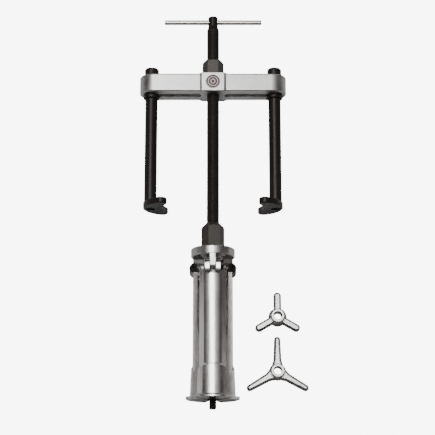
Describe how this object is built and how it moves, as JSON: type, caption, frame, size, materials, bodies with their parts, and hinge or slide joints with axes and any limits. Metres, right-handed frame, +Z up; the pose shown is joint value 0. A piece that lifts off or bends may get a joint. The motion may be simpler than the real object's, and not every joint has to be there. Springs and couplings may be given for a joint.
{
  "type": "internal bearing puller",
  "caption": "Internal bearing puller with outward-hooked jaws, a slotted crossbeam on crescent-footed legs, a draw spindle with tommy bar, and loose spreaders beside it.",
  "frame": {"origin": "on the spindle's axis, in the plane of the undersides of the jaws' feet", "axes": "the tool lies on its back on a bench: +Y runs along the spindle towards the tommy bar, +Z points straight up from the bench through the front jaw and the beam's badge, +X points to the loose spreaders' side"},
  "size_m": [0.2693, 0.6456, 0.0822],
  "materials": {
    "satin_aluminium": "satin, fine brushed",
    "badge_enamel": "maroon fill in a bright metal disc",
    "dark_steel": "dark grey, semi-matt",
    "black_oxide_steel": "black oxide, oiled",
    "bright_bar": "bright drawn",
    "ground_steel": "turned, bright",
    "polished_chrome": "polished along its length",
    "cast_spreader_steel": "satin, forged"
  },
  "bodies": {
    "beam_body": {"crossbeam": "satin_aluminium", "boss_badge": "badge_enamel", "spreader_medium": "cast_spreader_steel", "spreader_large": "cast_spreader_steel"},
    "nut_body": {"draw_nut": "dark_steel"},
    "head_body": {"extractor_head": "ground_steel"},
    "spindle_body": {"draw_spindle": "black_oxide_steel", "hex_coupling": "dark_steel", "pull_rod": "black_oxide_steel", "head_collar": "black_oxide_steel"},
    "bar_body": {"tommy_bar": "bright_bar"},
    "star_body": {"spreader_small": "cast_spreader_steel"},
    "jaw_front_body": {"jaw_front": "polished_chrome", "pivot_screw_front": "black_oxide_steel"},
    "jaw_right_body": {"jaw_right": "polished_chrome", "pivot_screw_right": "black_oxide_steel"},
    "jaw_left_body": {"jaw_left": "polished_chrome", "pivot_screw_left": "black_oxide_steel"},
    "slider_left_body": {"leg_washer_left": "black_oxide_steel"},
    "leg_left_body": {"leg_left": "black_oxide_steel", "cap_screw_left": "black_oxide_steel", "foot_left": "black_oxide_steel", "foot_screw_left": "black_oxide_steel"},
    "slider_right_body": {"leg_washer_right": "black_oxide_steel"},
    "leg_right_body": {"leg_right": "black_oxide_steel", "cap_screw_right": "black_oxide_steel", "foot_right": "black_oxide_steel", "foot_screw_right": "black_oxide_steel"}
  },
  "joints": [
    {"name": "nut_spin", "type": "hinge", "parent": "beam_body", "child": "nut_body", "pos_m": [0, 0.5395, 0], "axis": [0, 1, 0], "range_deg": [-13200, 0]},
    {"name": "draw_slide", "type": "slide", "parent": "beam_body", "child": "head_body", "axis": [0, 1, 0], "range_m": [0, 0.055]},
    {"name": "spindle_spin", "type": "hinge", "parent": "head_body", "child": "spindle_body", "pos_m": [0, 0.2365, 0], "axis": [0, 1, 0], "range_deg": [0, 10080]},
    {"name": "bar_slide", "type": "slide", "parent": "spindle_body", "child": "bar_body", "axis": [1, 0, 0], "range_m": [-0.066, 0.066]},
    {"name": "star_slide", "type": "slide", "parent": "head_body", "child": "star_body", "axis": [0, 1, 0], "range_m": [-0.049, 0]},
    {"name": "jaw_front_pivot", "type": "hinge", "parent": "head_body", "child": "jaw_front_body", "pos_m": [0, 0.2067, 0.026], "axis": [-1, 0, 0], "range_deg": [0, 3.4]},
    {"name": "jaw_right_pivot", "type": "hinge", "parent": "head_body", "child": "jaw_right_body", "pos_m": [0.02252, 0.2067, -0.013], "axis": [0.5, 0, 0.866], "range_deg": [0, 3.4]},
    {"name": "jaw_left_pivot", "type": "hinge", "parent": "head_body", "child": "jaw_left_body", "pos_m": [-0.02252, 0.2067, -0.013], "axis": [0.5, 0, -0.866], "range_deg": [0, 3.4]},
    {"name": "leg_left_slide", "type": "slide", "parent": "beam_body", "child": "slider_left_body", "axis": [1, 0, 0], "range_m": [0, 0.035]},
    {"name": "leg_left_turn", "type": "hinge", "parent": "slider_left_body", "child": "leg_left_body", "pos_m": [-0.1, 0.4875, 0], "axis": [0, 1, 0], "continuous": true},
    {"name": "leg_right_slide", "type": "slide", "parent": "beam_body", "child": "slider_right_body", "axis": [-1, 0, 0], "range_m": [0, 0.035]},
    {"name": "leg_right_turn", "type": "hinge", "parent": "slider_right_body", "child": "leg_right_body", "pos_m": [0.1, 0.4875, 0], "axis": [0, 1, 0], "continuous": true}
  ],
  "couplings": [
    {"joint": "nut_spin", "follows": "draw_slide", "rad_per_m": -4188.8},
    {"joint": "star_slide", "follows": "spindle_spin", "m_per_rad": -0.00027852},
    {"joint": "jaw_front_pivot", "follows": "spindle_spin", "ratio": 0.0003373},
    {"joint": "jaw_right_pivot", "follows": "spindle_spin", "ratio": 0.0003373},
    {"joint": "jaw_left_pivot", "follows": "spindle_spin", "ratio": 0.0003373}
  ]
}
